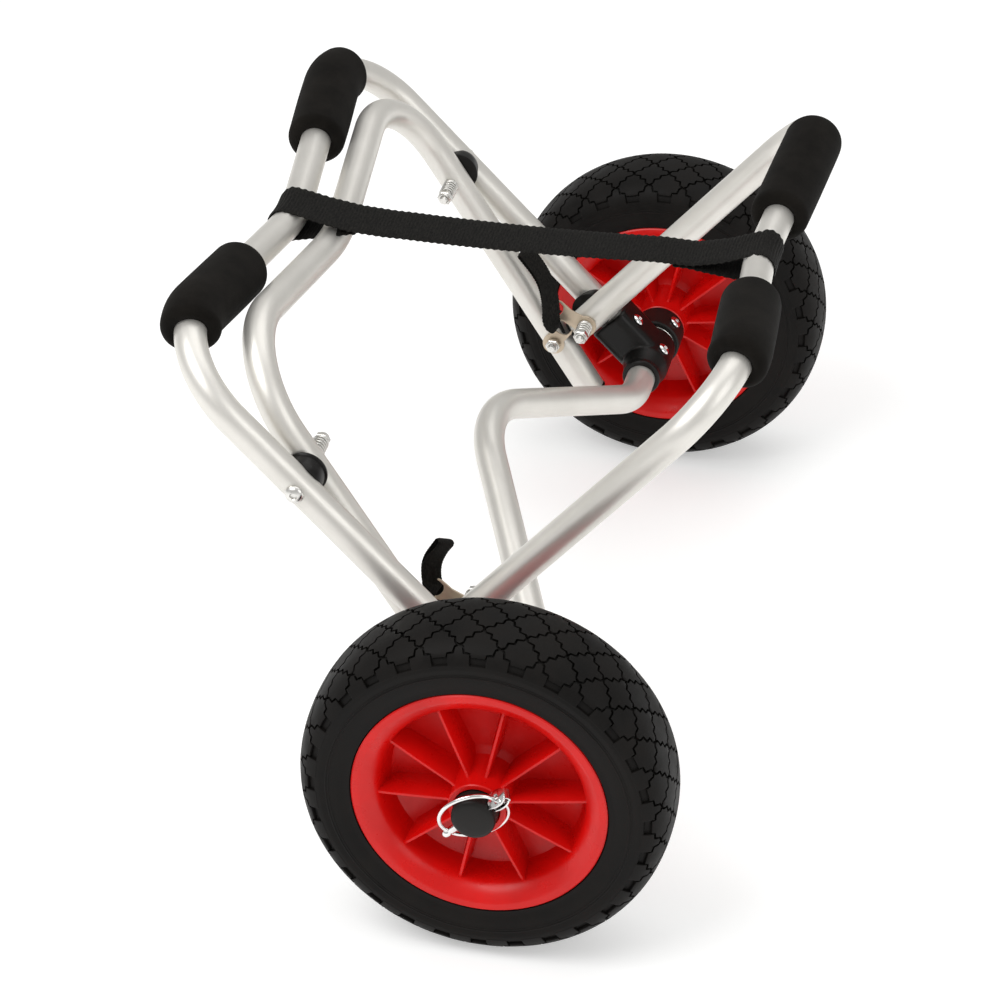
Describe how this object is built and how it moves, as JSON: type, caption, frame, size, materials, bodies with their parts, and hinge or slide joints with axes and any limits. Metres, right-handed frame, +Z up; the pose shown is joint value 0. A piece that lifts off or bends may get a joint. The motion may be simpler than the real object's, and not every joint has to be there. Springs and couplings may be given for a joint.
{
  "type": "folding two-wheel boat trolley",
  "caption": "Folding trolley for carrying a kayak or canoe: bent tube bows with foam pads, a cross strap, a kickstand and solid-tyred wheels held on by linch pins.",
  "frame": {"origin": "centre of the bounding box on the ground, midway between the wheels", "axes": "+X forward, in the direction that the trolley rolls, from the front bow towards the rear bow; +Y to the left along the axle; +Z up"},
  "size_m": [0.4038, 0.7626, 0.3862],
  "materials": {
    "tube": "satin",
    "foam": "matte",
    "bracket": "satin",
    "axle": "satin",
    "saddle": "satin",
    "plug": "matte",
    "rivet": "polished",
    "zinc": "satin",
    "spring": "satin",
    "plate": "satin",
    "pin": "polished",
    "rim": "gloss",
    "tyre": "matte",
    "webbing": "matte"
  },
  "bodies": {
    "frame": {"front_bow_tube": "tube", "cross_tube": "tube", "main_strap": "webbing", "front_pad_right": "foam", "wheel_bracket_right": "bracket", "leg_rivet_right": "rivet", "barrel_rivet_right": "rivet", "collar_rivet_right": "rivet", "stub_axle_right": "axle", "axle_washer_right": "zinc", "stand_pivot_saddle_right": "saddle", "stand_pivot_bolt_right": "zinc", "stand_pivot_spring_right": "spring", "stand_pivot_nut_right": "zinc", "rear_pivot_saddle_right": "saddle", "rear_pivot_bolt_right": "zinc", "rear_pivot_spring_right": "spring", "rear_pivot_nut_right": "zinc", "rear_limiter_plate_right": "plate", "limiter_webbing_right": "webbing", "front_pad_left": "foam", "wheel_bracket_left": "bracket", "leg_rivet_left": "rivet", "barrel_rivet_left": "rivet", "collar_rivet_left": "rivet", "stub_axle_left": "axle", "axle_washer_left": "zinc", "stand_pivot_saddle_left": "saddle", "stand_pivot_bolt_left": "zinc", "stand_pivot_spring_left": "spring", "stand_pivot_nut_left": "zinc", "rear_pivot_saddle_left": "saddle", "rear_pivot_bolt_left": "zinc", "rear_pivot_spring_left": "spring", "rear_pivot_nut_left": "zinc", "rear_limiter_plate_left": "plate", "limiter_webbing_left": "webbing"},
    "rear_bow": {"rear_bow_tube": "tube", "rear_pad_right": "foam", "rear_end_plug_right": "plug", "rear_pad_left": "foam", "rear_end_plug_left": "plug"},
    "stand": {"stand_tube": "tube", "stand_end_plug_right": "plug", "limiter_bolt_right": "zinc", "limiter_nut_right": "zinc", "stand_limiter_plate_right": "plate", "stand_end_plug_left": "plug", "limiter_bolt_left": "zinc", "limiter_nut_left": "zinc", "stand_limiter_plate_left": "plate"},
    "wheel_right": {"wheel_rim_right": "rim", "tyre_right": "tyre"},
    "pin_right": {"linch_pin_right": "pin"},
    "ring_right": {"linch_ring_right": "pin"},
    "wheel_left": {"wheel_rim_left": "rim", "tyre_left": "tyre"},
    "pin_left": {"linch_pin_left": "pin"},
    "ring_left": {"linch_ring_left": "pin"}
  },
  "joints": [
    {"name": "rear_bow_fold", "type": "hinge", "parent": "frame", "child": "rear_bow", "pos_m": [0.00805, 0, 0.16916], "axis": [0, -1, 0], "range_deg": [0, 55], "deforming": ["main_strap"]},
    {"name": "stand_swing", "type": "hinge", "parent": "frame", "child": "stand", "pos_m": [-0.0968, 0, 0.27698], "axis": [0, 1, 0], "range_deg": [0, 45], "deforming": ["limiter_webbing_right", "limiter_webbing_left"]},
    {"name": "wheel_right_spin", "type": "hinge", "parent": "frame", "child": "wheel_right", "pos_m": [0.051, -0.323, 0.125], "axis": [0, 1, 0], "continuous": true},
    {"name": "linch_pin_right_pull", "type": "slide", "parent": "frame", "child": "pin_right", "axis": [0.7314, 0, 0.682], "range_m": [0, 0.055]},
    {"name": "linch_ring_right_swing", "type": "hinge", "parent": "pin_right", "child": "ring_right", "pos_m": [0.06563, -0.3685, 0.13864], "axis": [-0.5965, -0.4848, 0.6397], "range_deg": [0, 150]},
    {"name": "wheel_left_spin", "type": "hinge", "parent": "frame", "child": "wheel_left", "pos_m": [0.051, 0.323, 0.125], "axis": [0, 1, 0], "continuous": true},
    {"name": "linch_pin_left_pull", "type": "slide", "parent": "frame", "child": "pin_left", "axis": [0.7314, 0, 0.682], "range_m": [0, 0.055]},
    {"name": "linch_ring_left_swing", "type": "hinge", "parent": "pin_left", "child": "ring_left", "pos_m": [0.06563, 0.3685, 0.13864], "axis": [0.5965, -0.4848, -0.6397], "range_deg": [0, 150]}
  ],
  "couplings": [
    {"joint": "linch_ring_right_swing", "follows": "linch_pin_right_pull", "rad_per_m": 45.4},
    {"joint": "linch_ring_left_swing", "follows": "linch_pin_left_pull", "rad_per_m": 45.4}
  ]
}
